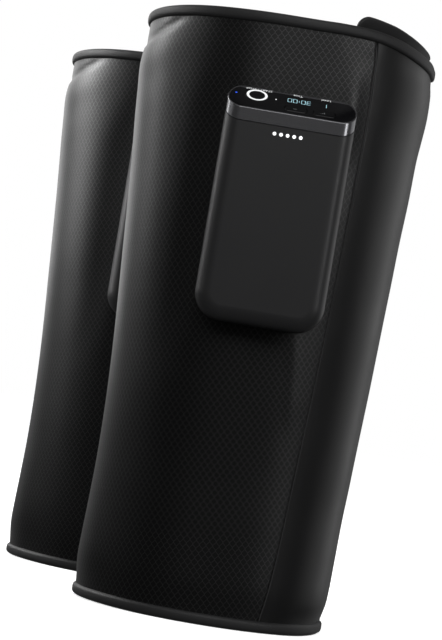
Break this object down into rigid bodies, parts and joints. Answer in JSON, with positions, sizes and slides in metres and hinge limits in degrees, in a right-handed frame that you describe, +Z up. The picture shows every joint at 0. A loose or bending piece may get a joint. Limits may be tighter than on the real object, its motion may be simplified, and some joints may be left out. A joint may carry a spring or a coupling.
{
  "type": "compression therapy pump sleeve pair",
  "caption": "Pair of standing inflatable calf sleeves, each with a wrap closure and a flat battery pump with buttons, display and lights on its front.",
  "frame": {"origin": "centre of the pair's footprint, on the surface that the lower rims stand on", "axes": "+Z up along the sleeves; the pumps face -Y; +X to the right as seen from the front, towards the closure flaps"},
  "size_m": [0.1732, 0.3038, 0.2608],
  "materials": {
    "patterned_fabric": "matte knit with a fine hexagon line pattern",
    "smooth_fabric": "smooth laminated neoprene",
    "binding_tape": "smooth rolled edge tape",
    "lining_fabric": "smooth wipe-clean lining",
    "chamber_film": "coated film",
    "hook_tape": "hook fastener",
    "loop_tape": "brushed loop fastener",
    "inner_plastic": "moulded, unpainted",
    "housing": "satin soft-touch black",
    "dark_band": "dark metallic, glossy",
    "gloss_lens": "piano black",
    "light_guide": "clear, lit white",
    "circuit_board": "solder resist",
    "battery_wrap": "silver pouch film",
    "bright_steel": "plated",
    "soft_rubber": "silicone rubber"
  },
  "bodies": {
    "root": {"right_outer_cover": "patterned_fabric", "right_air_chambers": "chamber_film", "right_inner_lining": "lining_fabric", "right_edge_bindings": "binding_tape", "right_loop_patch": "loop_tape", "right_under_flap": "smooth_fabric", "right_port_plate": "inner_plastic", "right_rear_tray": "housing", "right_front_cover": "housing", "right_control_cap": "dark_band", "right_control_lens": "gloss_lens", "right_light_guide": "light_guide", "right_display_module": "gloss_lens", "right_control_board": "circuit_board", "right_main_board": "circuit_board", "right_battery_pack": "battery_wrap", "right_pump_motor": "bright_steel", "right_pump_head": "inner_plastic", "right_valve_block": "inner_plastic", "right_air_tubes": "soft_rubber", "right_charge_port": "bright_steel", "right_housing_screws": "bright_steel", "right_housing_seal": "soft_rubber", "left_outer_cover": "patterned_fabric", "left_air_chambers": "chamber_film", "left_inner_lining": "lining_fabric", "left_edge_bindings": "binding_tape", "left_loop_patch": "loop_tape", "left_under_flap": "smooth_fabric", "left_port_plate": "inner_plastic", "left_rear_tray": "housing", "left_front_cover": "housing", "left_control_cap": "dark_band", "left_control_lens": "gloss_lens", "left_light_guide": "light_guide", "left_display_module": "gloss_lens", "left_control_board": "circuit_board", "left_main_board": "circuit_board", "left_battery_pack": "battery_wrap", "left_pump_motor": "bright_steel", "left_pump_head": "inner_plastic", "left_valve_block": "inner_plastic", "left_air_tubes": "soft_rubber", "left_charge_port": "bright_steel", "left_housing_screws": "bright_steel", "left_housing_seal": "soft_rubber"},
    "right_flap": {"right_closure_flap": "smooth_fabric", "right_flap_bindings": "binding_tape", "right_hook_patch": "hook_tape"},
    "right_start_stop_button": {"right_start_stop_button": "gloss_lens"},
    "right_time_button": {"right_time_button": "gloss_lens"},
    "right_level_button": {"right_level_button": "gloss_lens"},
    "right_motor_shaft": {"right_motor_shaft": "bright_steel"},
    "left_flap": {"left_closure_flap": "smooth_fabric", "left_flap_bindings": "binding_tape", "left_hook_patch": "hook_tape"},
    "left_start_stop_button": {"left_start_stop_button": "gloss_lens"},
    "left_time_button": {"left_time_button": "gloss_lens"},
    "left_level_button": {"left_level_button": "gloss_lens"},
    "left_motor_shaft": {"left_motor_shaft": "bright_steel"}
  },
  "joints": [
    {"name": "right_flap_hinge", "type": "hinge", "parent": "root", "child": "right_flap", "pos_m": [0.05339, -0.12092, 0], "axis": [-0.0192, 0.026, -0.9995], "range_deg": [0, 100]},
    {"name": "right_start_stop_button_travel", "type": "slide", "parent": "root", "child": "right_start_stop_button", "axis": [0, 0.609, -0.7932], "range_m": [0, 0.0004], "stiffness_N_per_m": 600},
    {"name": "right_time_button_travel", "type": "slide", "parent": "root", "child": "right_time_button", "axis": [0, 0.609, -0.7932], "range_m": [0, 0.0004], "stiffness_N_per_m": 600},
    {"name": "right_level_button_travel", "type": "slide", "parent": "root", "child": "right_level_button", "axis": [0, 0.609, -0.7932], "range_m": [0, 0.0004], "stiffness_N_per_m": 600},
    {"name": "right_motor_spin", "type": "hinge", "parent": "root", "child": "right_motor_shaft", "pos_m": [0.03715, -0.14229, 0.16831], "axis": [0, -0.0351, 0.9994], "continuous": true},
    {"name": "left_flap_hinge", "type": "hinge", "parent": "root", "child": "left_flap", "pos_m": [0.00999, 0.04378, 0], "axis": [-0.0192, 0.026, -0.9995], "range_deg": [0, 100]},
    {"name": "left_start_stop_button_travel", "type": "slide", "parent": "root", "child": "left_start_stop_button", "axis": [0, 0.609, -0.7932], "range_m": [0, 0.0004], "stiffness_N_per_m": 600},
    {"name": "left_time_button_travel", "type": "slide", "parent": "root", "child": "left_time_button", "axis": [0, 0.609, -0.7932], "range_m": [0, 0.0004], "stiffness_N_per_m": 600},
    {"name": "left_level_button_travel", "type": "slide", "parent": "root", "child": "left_level_button", "axis": [0, 0.609, -0.7932], "range_m": [0, 0.0004], "stiffness_N_per_m": 600},
    {"name": "left_motor_spin", "type": "hinge", "parent": "root", "child": "left_motor_shaft", "pos_m": [-0.00625, 0.02241, 0.16831], "axis": [0, -0.0351, 0.9994], "continuous": true}
  ]
}
